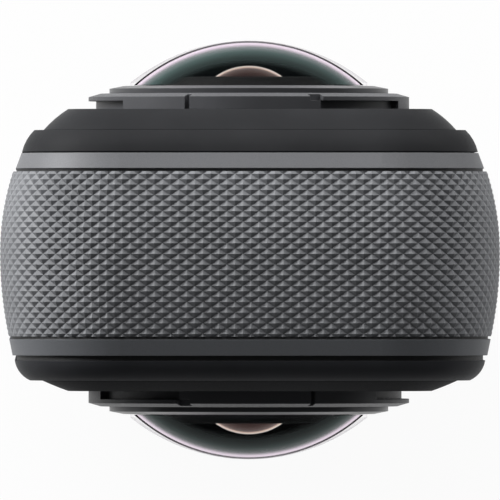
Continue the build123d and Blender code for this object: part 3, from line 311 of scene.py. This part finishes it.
def coatedFace(name, look):
    # a camera ray that meets the dome's far side from within finds it opaque and painted dark:
    # painted shade standing in for the dark inside of the lens
    finish, tree, shader = startFinish(name)
    angle = facing(tree)
    side = addNode(tree, "ShaderNodeNewGeometry")
    path = addNode(tree, "ShaderNodeLightPath")
    within = combine(tree, "SUBTRACT", 1.0, side.outputs["Backfacing"])
    # painted shade mask: where a camera ray meets the far side from within
    farShadeMask = combine(tree, "MULTIPLY", within, path.outputs["Is Camera Ray"])
    near = combine(tree, "SUBTRACT", 1.0, farShadeMask)
    blend = addNode(tree, "ShaderNodeMix")
    blend.data_type = "RGBA"
    blend.inputs[mixSockets["second"]].default_value = (*look["paintedShadeFarSide"], 1.0)
    tree.links.new(farShadeMask, blend.inputs[mixSockets["share"]])
    tree.links.new(tones(tree, angle, look["colours"]), blend.inputs[mixSockets["first"]])
    tree.links.new(blend.outputs[mixSockets["result"]], shader.inputs["Base Color"])
    cover = combine(tree, "MAXIMUM", farShadeMask, greys(tree, angle, look["seenThrough"]))
    tree.links.new(cover, shader.inputs["Alpha"])
    mirror = combine(tree, "MULTIPLY", near, greys(tree, angle, look["mirror"]))
    tree.links.new(mirror, shader.inputs["Metallic"])
    shader.inputs["Specular IOR Level"].default_value = 0.0
    smear = mottle(tree, onPiece(tree), look["smearSize"], look["smearDetail"])
    glossFrom(tree, shader, smear, look)
    return finish


# Inner element: strongly coated, so it shows amber over a dark barrel
innerGlass = {
    "colours": [(0.0, (0.03, 0.02, 0.035)), (0.5, (0.045, 0.018, 0.014)),
                (0.7, (0.1, 0.04, 0.028)), (0.76, (0.8, 0.5, 0.38)), (0.84, (1.0, 0.72, 0.56))],
    "cloudSize": 2.5 * mm, "rough": 0.08, "glossSpread": (0.0, 0.05),
}


def amberGlass(name, look):
    finish, tree, shader = startFinish(name)
    colourFrom(tree, shader, facing(tree), look["colours"])
    glossFrom(tree, shader, mottle(tree, onPiece(tree), look["cloudSize"]), look)
    shader.inputs["Metallic"].default_value = 1.0
    return finish


# Touch glass: black print behind gloss, a shade lighter over the display
touchGlass = {
    "border": (0.006, 0.006, 0.007),
    "display": (0.012, 0.013, 0.016),
    "displayHalfWidth": 14.6 * mm,
    "displayLow": 28.4 * mm,
    "displayHigh": 81.2 * mm,
    "smearSize": 11 * mm, "smearDetail": 5.0,
    "rough": 0.05, "glossSpread": (0.0, 0.07), "glossMarks": (0.45, 0.75),
    "shine": 0.3, "coat": 0.15, "coatRough": 0.02,
}


def printedGlass(name, look):
    finish, tree, shader = startFinish(name)
    where = onPiece(tree)
    parts = addNode(tree, "ShaderNodeSeparateXYZ")
    tree.links.new(where, parts.inputs["Vector"])
    across = combine(tree, "ABSOLUTE", parts.outputs["X"])
    wide = combine(tree, "LESS_THAN", across, look["displayHalfWidth"])
    above = combine(tree, "GREATER_THAN", parts.outputs["Z"], look["displayLow"])
    below = combine(tree, "LESS_THAN", parts.outputs["Z"], look["displayHigh"])
    inside = combine(tree, "MULTIPLY", combine(tree, "MULTIPLY", wide, above), below)
    colourFrom(tree, shader, inside, [(0.0, look["border"]), (1.0, look["display"])])
    glossFrom(tree, shader, mottle(tree, where, look["smearSize"], look["smearDetail"]), look)
    shader.inputs["Specular IOR Level"].default_value = look["shine"]
    shader.inputs["Coat Weight"].default_value = look["coat"]
    shader.inputs["Coat Roughness"].default_value = look["coatRough"]
    return finish


# What each finish looks like, by the record's slot
plastics = {
    "grip_texture": {"colour": (0.138, 0.142, 0.151), "rough": 0.55, "grainSize": 0.11 * mm,
                     "grainDepth": 0.012 * mm, "shine": 0.4},
    "frame_black": {"colour": (0.012, 0.012, 0.013), "rough": 0.6, "grainSize": 0.2 * mm,
                    "grainDepth": 0.01 * mm},
    "housing_black": {"colour": (0.02, 0.0205, 0.022), "rough": 0.5, "grainSize": 0.16 * mm,
                      "grainDepth": 0.004 * mm, "shine": 0.04, "softEdge": 0.12 * mm},
    "cover_black": {"colour": (0.018, 0.0185, 0.02), "rough": 0.45, "grainSize": 0.16 * mm,
                    "grainDepth": 0.004 * mm, "shine": 0.05, "softEdge": 0.12 * mm},
    "barrel_black": {"colour": (0.006, 0.006, 0.006), "rough": 0.7, "grainSize": 0.3 * mm,
                     "grainDepth": 0.02 * mm, "shine": 0.1},
    # painted light and shade: the front housing a shade lighter and the front cover darker than
    # their rear twins, for how light falls on the front
    "front_housing_painted_light": {"colour": (0.026, 0.027, 0.03), "rough": 0.5,
                            "grainSize": 0.16 * mm, "grainDepth": 0.006 * mm, "shine": 0.06,
                            "softEdge": 0.12 * mm},
    "front_cover_painted_shade": {"colour": (0.013, 0.0135, 0.015), "rough": 0.5,
                          "grainSize": 0.16 * mm, "grainDepth": 0.006 * mm, "shine": 0.01,
                          "softEdge": 0.12 * mm},
    "mount_black": {"colour": (0.056, 0.057, 0.062), "rough": 0.45, "grainSize": 0.15 * mm,
                    "grainDepth": 0.006 * mm, "shine": 0.25, "softEdge": 0.08 * mm},
    "button_gloss": {"colour": (0.03, 0.03, 0.032), "rough": 0.32, "grainSize": 0.2 * mm,
                     "grainDepth": 0.004 * mm, "softEdge": 0.08 * mm},
    "side_button": {"colour": (0.075, 0.077, 0.082), "rough": 0.4, "grainSize": 0.14 * mm,
                    "grainDepth": 0.006 * mm, "softEdge": 0.08 * mm},
    "latch_plastic": {"colour": (0.06, 0.061, 0.065), "rough": 0.45, "grainSize": 0.16 * mm,
                      "grainDepth": 0.008 * mm},
    "card_plastic": {"colour": (0.02, 0.02, 0.021), "rough": 0.5, "grainSize": 0.2 * mm,
                     "grainDepth": 0.006 * mm},
    "light_pipe": {"colour": (0.8, 0.82, 0.85), "rough": 0.35, "grainSize": 0.25 * mm,
                   "grainDepth": 0.004 * mm},
    "display_dark": {"colour": (0.012, 0.012, 0.015), "rough": 0.2, "grainSize": 0.4 * mm,
                     "grainDepth": 0.002 * mm},
    "battery_wrap": {"colour": (0.03, 0.03, 0.033), "rough": 0.35, "grainSize": 0.8 * mm,
                     "grainDepth": 0.01 * mm, "cloudSize": 12 * mm},
}
paints = {
    "satin_trim": {"colour": (0.12, 0.122, 0.129), "rough": 0.55, "metal": 0.05,
                   "flakeSize": 0.09 * mm, "flakeDepth": 0.004 * mm, "softEdge": 0.1 * mm},
    "dark_trim": {"colour": (0.092, 0.096, 0.104), "rough": 0.5, "metal": 0.05,
                  "flakeSize": 0.09 * mm, "flakeDepth": 0.004 * mm, "softEdge": 0.1 * mm},
    "ring_black": {"colour": (0.05, 0.051, 0.055), "rough": 0.35, "metal": 0.3,
                   "flakeSize": 0.08 * mm, "flakeDepth": 0.003 * mm, "softEdge": 0.06 * mm},
}
metals = {
    "steel": {"colour": (0.6, 0.6, 0.62), "rough": 0.3, "along": (1, 8, 1),
              "lineSize": 0.5 * mm, "lineDepth": 0.003 * mm},
    "cast_alloy": {"colour": (0.5, 0.51, 0.53), "rough": 0.55, "along": (1, 1, 1),
                   "lineSize": 0.4 * mm, "lineDepth": 0.03 * mm},
    "contact_gold": {"colour": (0.8, 0.6, 0.25), "rough": 0.25, "along": (1, 1, 6),
                     "lineSize": 0.4 * mm, "lineDepth": 0.002 * mm},
    "socket_steel": {"colour": (0.52, 0.52, 0.53), "rough": 0.3, "along": (1, 1, 12),
                     "lineSize": 0.6 * mm, "lineDepth": 0.004 * mm},
}
rubbers = {
    "pad_rubber": {"colour": (0.03, 0.03, 0.032), "rough": 0.7},
    "seal_rubber": {"colour": (0.02, 0.02, 0.02), "rough": 0.6},
}
films = {
    "flex_film": {"dark": (0.26, 0.1, 0.02), "light": (0.42, 0.2, 0.05), "rough": 0.25,
                  "across": "X", "bandsPerMetre": 900.0},
    "sensor_silicon": {"dark": (0.03, 0.035, 0.07), "light": (0.07, 0.06, 0.12), "rough": 0.12,
                       "across": "Z", "bandsPerMetre": 400.0},
}
boards = {
    "circuit_board": {"mask": (0.012, 0.075, 0.035), "track": (0.03, 0.14, 0.07),
                      "trackPitch": 3 * mm, "trackGap": 0.06, "trackDepth": 0.02 * mm,
                      "trackStrength": 0.6, "cloudSize": 2 * mm, "rough": 0.25,
                      "glossSpread": (0.0, 0.15)},
}
finishKinds = [
    (mouldedPlastic, plastics), (satinPaint, paints), (brushedMetal, metals),
    (softRubber, rubbers), (bandedFilm, films), (circuitBoard, boards),
    (clearShell, {"lens_glass": clearGlass}), (coatedFace, {"lens_coating": coatedShell}),
    (amberGlass, {"coated_glass": innerGlass}), (printedGlass, {"screen_glass": touchGlass}),
]

finishes = {}
for makeFinish, looks in finishKinds:
    for slotName, slotLook in looks.items():
        finishes[slotName] = makeFinish(slotName + "_finish", slotLook)

# The front housing and cover plate take tones of their own: painted light and shade, copies of the
# rear finishes tuned to how light falls on the front
nodeFinishes = {"front_housing": "front_housing_painted_light", "front_cover_plate": "front_cover_painted_shade"}
bareSlots = set()
for nodeName, nodeObject in nodeObjects.items():
    for holder in nodeObject.material_slots:
        slotName = nodeFinishes.get(nodeName, holder.material.name.split(".")[0])
        if slotName in finishes:
            holder.material = finishes[slotName]
        else:
            bareSlots.add(slotName)
print("finishes:", len(finishes), "slots left bare:", sorted(bareSlots))


# Diamond relief of the grip band, which runs on over the battery cover and the USB door
gripRelief = {
    "halfWidth": 23.0 * mm,
    "cornerRadius": 11.0 * mm,
    "top": 124.5 * mm,
    "bottom": -0.75 * mm,          # the foot is cut flat above this
    "crownY": -0.29 * mm,          # the band's widest line
    "rearY": 7.21 * mm,
    "rearInset": 1.2 * mm,
    "frontY": -7.92 * mm,
    "frontInset": 0.8 * mm,
    "cellsRound": 220,
    "cellDepth": 0.975 * mm,       # along Y
    "firstRowY": -8.15 * mm,
    "rowOverrun": 0.2 * mm,
    "tipDepth": 0.03 * mm,         # tips lie just inside the smooth skin
    "valleyDepth": 0.34 * mm,      # over the top and the foot
    "sideDepth": 0.14 * mm,        # down the long sides
    "fadeFrom": 0.8, "fadeTo": 0.4,    # how much the skin looks up or down there
    "innerDepth": 9.5 * mm,
}
cadWeld = 0.0005 * mm              # corners of the CAD mesh nearer than this are one


def outlineLength(look):
    flat = look["halfWidth"] - look["cornerRadius"]
    tall = look["top"] - look["bottom"] - 2 * look["cornerRadius"]
    return 4 * flat + 2 * tall + 2 * math.pi * look["cornerRadius"]


def outlinePoint(look, distance):
    # place and outward direction on the widest line, from the middle of the top towards +X
    half, radius = look["halfWidth"], look["cornerRadius"]
    top, bottom = look["top"], look["bottom"]
    flat, tall, arc = half - radius, top - bottom - 2 * radius, radius * math.pi / 2
    high, low = top - radius, bottom + radius
    # length, start or centre, way of a straight run, first angle of a corner
    runs = [
        (flat, (0, top), (1, 0), None), (arc, (flat, high), None, math.pi / 2),
        (tall, (half, high), (0, -1), None), (arc, (flat, low), None, 0.0),
        (2 * flat, (flat, bottom), (-1, 0), None), (arc, (-flat, low), None, -math.pi / 2),
        (tall, (-half, low), (0, 1), None), (arc, (-flat, high), None, math.pi),
        (flat, (-flat, top), (1, 0), None),
    ]
    while len(runs) > 1 and distance > runs[0][0]:
        distance -= runs.pop(0)[0]
    (x, z), way, firstAngle = runs[0][1:]
    if way:
        return (x + way[0] * distance, z + way[1] * distance), (-way[1], way[0])
    angle = firstAngle - distance / radius
    outward = (math.cos(angle), math.sin(angle))
    return (x + radius * outward[0], z + radius * outward[1]), outward


def crownInset(look, y):
    # the band's crown is an arc to each side of its widest line
    if y >= look["crownY"]:
        reach, inset = look["rearY"] - look["crownY"], look["rearInset"]
    else:
        reach, inset = look["crownY"] - look["frontY"], look["frontInset"]
    radius = (reach ** 2 + inset ** 2) / (2 * inset)
    return radius - math.sqrt(radius ** 2 - (y - look["crownY"]) ** 2)


def valleyDepth(look, upward):
    # full depth where the skin looks up or down, fading round the corners
    share = (abs(upward) - look["fadeTo"]) / (look["fadeFrom"] - look["fadeTo"])
    extra = look["valleyDepth"] - look["sideDepth"]
    return look["sideDepth"] + min(1.0, max(0.0, share)) * extra


def makeReliefBody(look):
    columns = 2 * look["cellsRound"]
    step = outlineLength(look) / columns
    rowStep = look["cellDepth"] / 2
    lastY = look["rearY"] + look["rowOverrun"]
    rows = math.ceil((lastY - look["firstRowY"]) / rowStep) + 1
    places = [outlinePoint(look, column * step) for column in range(columns)]
    body = bmesh.new()

    def addCorner(column, row, depth):
        (x, z), (outX, outZ) = places[column]
        y = look["firstRowY"] + row * rowStep
        inward = crownInset(look, y) + depth
        return body.verts.new((x - inward * outX, y, z - inward * outZ))

    skin = []
    for column in range(columns):
        depths = (look["tipDepth"], valleyDepth(look, places[column][1][1]))
        skin.append([addCorner(column, row, depths[(column + row) % 2]) for row in range(rows)])
    inner = [[addCorner(column, row, look["innerDepth"]) for row in (0, rows - 1)]
             for column in range(columns)]
    for column in range(columns):
        following = (column + 1) % columns
        for row in range(rows - 1):
            here, right = skin[column][row], skin[following][row]
            above, across = skin[column][row + 1], skin[following][row + 1]
            if (column + row) % 2 == 0:   # the fold runs from valley to valley
                body.faces.new((here, right, above))
                body.faces.new((right, across, above))
            else:
                body.faces.new((here, right, across))
                body.faces.new((here, across, above))
        low, high = inner[column], inner[following]
        body.faces.new((low[0], high[0], skin[following][0], skin[column][0]))
        body.faces.new((skin[column][-1], skin[following][-1], high[1], low[1]))
        body.faces.new((low[0], low[1], high[1], high[0]))
    return addObject("gripReliefBody", meshFrom(body, "gripReliefBody"))


def cutToRelief(nodeName, pieceName, bodyName, slotName, cutter):
    # the solid piece keeps all its openings and takes the cutter's face as its skin
    mesh = nodeObjects[nodeName].data.copy()
    work = bmesh.new()
    work.from_mesh(mesh)
    bmesh.ops.remove_doubles(work, verts=work.verts, dist=cadWeld)
    work.to_mesh(mesh)
    work.free()
    piece = addObject(pieceName, mesh)
    shaping = piece.modifiers.new("relief", "BOOLEAN")
    shaping.operation = "INTERSECT"
    shaping.solver = "EXACT"
    shaping.object = cutter
    graph = bpy.context.evaluated_depsgraph_get()
    shaped = bpy.data.meshes.new_from_object(piece.evaluated_get(graph))
    piece.modifiers.clear()
    piece.data = shaped
    shaped.materials.clear()
    shaped.materials.append(finishes[slotName])
    for face in shaped.polygons:
        face.material_index = 0
        face.use_smooth = False
    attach(piece, bodyName)
    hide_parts(nodeName)
    print(pieceName, "faces:", len(shaped.polygons))


reliefBody = makeReliefBody(gripRelief)
cutToRelief("grip_band", "grip_band_relief", "camera_body", "grip_texture", reliefBody)
cutToRelief("battery_cover", "battery_cover_relief", "battery", "grip_texture", reliefBody)
cutToRelief("usb_door", "usb_door_relief", "usb_door", "grip_texture", reliefBody)
bpy.data.objects.remove(reliefBody)


# Ribbed rubber pad on the front
padRelief = {"ribPitch": 1.2 * mm, "ribDepth": 0.28 * mm, "tipDepth": 0.01 * mm,
             "flatFrom": 0.35, "flatTo": 0.65,    # of the pitch
             "faceY": -12.94 * mm, "backY": -11 * mm,
             "halfWidth": 15 * mm, "low": 11 * mm, "high": 78 * mm}


def makeRibBody(look):
    pitch, valley = look["ribPitch"], look["faceY"] + look["ribDepth"]
    face = look["faceY"] + look["tipDepth"]
    ribs = int((look["high"] - look["low"]) / pitch)
    profile = []
    for rib in range(ribs):
        z = look["low"] + rib * pitch
        profile += [(valley, z), (face, z + look["flatFrom"] * pitch),
                    (face, z + look["flatTo"] * pitch)]
    end = look["low"] + ribs * pitch
    profile += [(valley, end), (look["backY"], end), (look["backY"], look["low"])]
    body = bmesh.new()
    left = [body.verts.new((-look["halfWidth"], y, z)) for y, z in profile]
    right = [body.verts.new((look["halfWidth"], y, z)) for y, z in profile]
    body.faces.new(left)
    body.faces.new(reversed(right))
    for index in range(len(profile)):
        after = (index + 1) % len(profile)
        body.faces.new((left[index], right[index], right[after], left[after]))
    return addObject("padRibBody", meshFrom(body, "padRibBody"))


ribBody = makeRibBody(padRelief)
cutToRelief("front_grip_pad", "front_grip_pad_ribs", "camera_body", "pad_rubber", ribBody)
bpy.data.objects.remove(ribBody)


# Turned pieces of the lenses
lensTurning = {"axisZ": 101.0 * mm, "steps": 120, "sharpAngle": 25,
               "weld": 0.0001 * mm}       # joins what meets on the axis


def turnPiece(pieceName, side, outline, closed, slotName, coatedFrom=math.inf):
    # the outline is (radius, height along the lens axis), closed or from pole to pole
    look = lensTurning
    body = bmesh.new()
    rings = []
    for step in range(look["steps"]):
        angle = 2 * math.pi * step / look["steps"]
        turnX, turnZ = math.cos(angle), math.sin(angle)
        rings.append([body.verts.new((radius * turnX, side * y, look["axisZ"] + radius * turnZ))
                      for radius, y in outline])
    last = len(outline) if closed else len(outline) - 1
    for ring, following in zip(rings, rings[1:] + rings[:1]):
        for index in range(last):
            after = (index + 1) % len(outline)
            face = body.faces.new((ring[index], following[index], following[after], ring[after]))
            face.material_index = int(index >= coatedFrom)
            face.smooth = True
    bmesh.ops.remove_doubles(body, verts=body.verts, dist=look["weld"])
    mesh = meshFrom(body, pieceName)
    mesh.set_sharp_from_angle(angle=math.radians(look["sharpAngle"]))
    mesh.materials.append(finishes[slotName])
    piece = addObject(pieceName, mesh)
    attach(piece, "camera_body")
    return piece


def arcPoints(apex, radius, rim, count):
    # evenly turned points on a sphere round the lens axis, from its apex out to its rim
    centre, end = apex - radius, math.asin(rim / radius)
    return [(radius * math.sin(end * k / count), centre + radius * math.cos(end * k / count))
            for k in range(count + 1)]


# Outer glass of each lens
lensDome = {
    "apex": 19.33 * mm, "radius": 17.4 * mm, "rim": 10.95 * mm,
    "innerApex": 19.3 * mm, "innerRadius": 15.8 * mm, "innerRim": 10.6 * mm,
    "edgeY": 13.1 * mm, "arcSteps": 28,
}


def makeDome(look, nodeName, pieceName, side):
    outer = arcPoints(look["apex"], look["radius"], look["rim"], look["arcSteps"])
    inner = arcPoints(look["innerApex"], look["innerRadius"], look["innerRim"], look["arcSteps"])
    edge = [(look["rim"], look["edgeY"]), (look["innerRim"], look["edgeY"])]
    outline = outer + edge + inner[::-1]
    piece = turnPiece(pieceName, side, outline, False, "lens_glass", len(outer + edge))
    piece.data.materials.append(finishes["lens_coating"])
    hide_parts(nodeName)


# Black baffle with light trap rings between the outer glass and the inner element
lensBaffle = {
    "topY": 15.97 * mm, "topRadius": 7.5 * mm, "edgeWidth": 0.2 * mm, "edgeDrop": 0.1 * mm,
    "footRadius": 7.95 * mm, "footY": 15.1 * mm,
    "shelfY": 14.9 * mm, "shelfRadius": 10.15 * mm, "backY": 13.1 * mm,
    "elementCentre": 11.71 * mm, "elementRadius": 5.3 * mm, "play": 0.06 * mm, "boreSteps": 6,
    "trapPitch": 0.5 * mm, "trapDepth": 0.09 * mm,
}


def makeBaffle(look, pieceName, side):
    topY, backY, pitch = look["topY"], look["backY"], look["trapPitch"]

    def besideElement(y):
        away = y - look["elementCentre"]
        return math.sqrt(look["elementRadius"] ** 2 - away ** 2) + look["play"]

    hole = besideElement(topY)
    outline = [(hole, topY)]
    radius = hole + pitch
    while radius + pitch < look["topRadius"]:
        outline += [(radius, topY), (radius + pitch / 2, topY - look["trapDepth"])]
        radius += pitch
    outline += [(look["topRadius"] - look["edgeWidth"], topY),
                (look["topRadius"], topY - look["edgeDrop"]),
                (look["footRadius"], look["footY"]), (look["footRadius"], look["shelfY"]),
                (look["shelfRadius"], look["shelfY"]), (look["shelfRadius"], backY)]
    for step in range(look["boreSteps"]):
        y = backY + (topY - backY) * step / look["boreSteps"]
        outline.append((besideElement(y), y))
    turnPiece(pieceName, side, outline, True, "barrel_black")


for lensName, side in (("rear", 1), ("front", -1)):
    makeDome(lensDome, lensName + "_lens_glass", lensName + "_lens_dome", side)
    makeBaffle(lensBaffle, lensName + "_lens_baffle", side)
print("lenses ready")


# Floor, light and camera
floorLook = {"size": 14.0, "height": -0.05 * mm, "colour": (0.93, 0.93, 0.93),
             "whiteShare": 0.95}          # the rest takes the shadow


def makeFloor(look):
    half, height = look["size"] / 2, look["height"]
    corners = [(-half, -half, height), (half, -half, height), (half, half, height),
               (-half, half, height)]
    mesh = bpy.data.meshes.new("studioFloor")
    mesh.from_pydata(corners, [], [(0, 1, 2, 3)])
    paper = bpy.data.materials.new("studio_paper")
    tree = startTree(paper)
    output = addNode(tree, "ShaderNodeOutputMaterial")
    matte = addNode(tree, "ShaderNodeBsdfDiffuse", {"Color": (*look["colour"], 1.0)})
    glow = addNode(tree, "ShaderNodeEmission", {"Strength": 1.0})
    rays = addNode(tree, "ShaderNodeLightPath").outputs
    seen = combine(tree, "MAXIMUM", rays["Is Camera Ray"], rays["Is Glossy Ray"])
    seen = combine(tree, "MAXIMUM", seen, rays["Is Transmission Ray"])
    blend = addNode(tree, "ShaderNodeMixShader")
    tree.links.new(combine(tree, "MULTIPLY", seen, look["whiteShare"]), blend.inputs["Fac"])
    tree.links.new(matte.outputs["BSDF"], blend.inputs[1])
    tree.links.new(glow.outputs["Emission"], blend.inputs[2])
    tree.links.new(blend.outputs["Shader"], output.inputs["Surface"])
    mesh.materials.append(paper)
    addObject("studioFloor", mesh)


studio = {
    "fill": 0.1, "fillColour": (0.98, 0.99, 1.0),      # light from all round
    "aim": (0.0, 0.0, 0.1),
    "lamps": {
        "key": {"place": (-0.25, 1.45, 0.85), "size": 1.4, "power": 21.0},
        "left": {"place": (-1.05, 0.8, 0.25), "size": 0.9, "power": 37.0},
        "right": {"place": (1.0, 1.0, 0.2), "size": 0.8, "power": 13.0},
        "front": {"place": (0.1, -1.6, 0.25), "size": 1.0, "power": 3.0},
    },
}


def makeSoftLight(name, look, aim):
    lamp = bpy.data.lights.new(name, "AREA")
    lamp.shape = "SQUARE"
    lamp.size = look["size"]
    lamp.energy = look["power"]
    holder = addObject(name, lamp)
    holder.location = look["place"]
    holder.rotation_mode = "QUATERNION"
    holder.rotation_quaternion = (Vector(aim) - Vector(look["place"])).to_track_quat("-Z", "Y")


def makeSky(look):
    # white behind the object, a low fill as light
    sky = bpy.data.worlds.new("studioSky")
    tree = startTree(sky)
    output = addNode(tree, "ShaderNodeOutputWorld")
    soft = addNode(tree, "ShaderNodeBackground",
                   {"Color": (*look["fillColour"], 1.0), "Strength": look["fill"]})
    white = addNode(tree, "ShaderNodeBackground", {"Color": (1.0, 1.0, 1.0, 1.0), "Strength": 1.0})
    path = addNode(tree, "ShaderNodeLightPath")
    blend = addNode(tree, "ShaderNodeMixShader")
    tree.links.new(path.outputs["Is Camera Ray"], blend.inputs["Fac"])
    tree.links.new(soft.outputs["Background"], blend.inputs[1])
    tree.links.new(white.outputs["Background"], blend.inputs[2])
    tree.links.new(blend.outputs["Shader"], output.inputs["Surface"])
    bpy.context.scene.world = sky


cameraLook = {"halfAngle": 0.6, "tilt": 0.5,       # degrees
              "sensor": 36.0, "level": 113.5 * mm, "halfView": 22.95 * mm,
              "clipStart": 0.1, "clipEnd": 20.0}


def makeCamera(look):
    lens = bpy.data.cameras.new("studioCamera")
    widening = math.tan(math.radians(look["halfAngle"]))
    lens.sensor_width = look["sensor"]
    lens.lens = look["sensor"] / 2 / widening
    lens.clip_start = look["clipStart"]
    lens.clip_end = look["clipEnd"]
    camera = addObject("studioCamera", lens)
    distance = look["halfView"] / widening
    lean = math.tan(math.radians(look["tilt"]))
    aim = Vector((0.0, 0.0, look["level"]))
    away = Vector((-distance * lean, 0.0, distance))
    camera.location = aim + away
    back = away.normalized()
    across = Vector((0.0, 1.0, 0.0)).cross(back).normalized()    # +Y is up in the picture
    turn = Matrix((across, back.cross(across), back)).transposed()
    camera.rotation_mode = "QUATERNION"
    camera.rotation_quaternion = turn.to_quaternion()
    bpy.context.scene.camera = camera


makeFloor(floorLook)
makeSky(studio)
for lampName, lampLook in studio["lamps"].items():
    makeSoftLight(lampName + "Light", lampLook, studio["aim"])
makeCamera(cameraLook)
bpy.context.scene.view_settings.view_transform = "Standard"
print("studio ready")
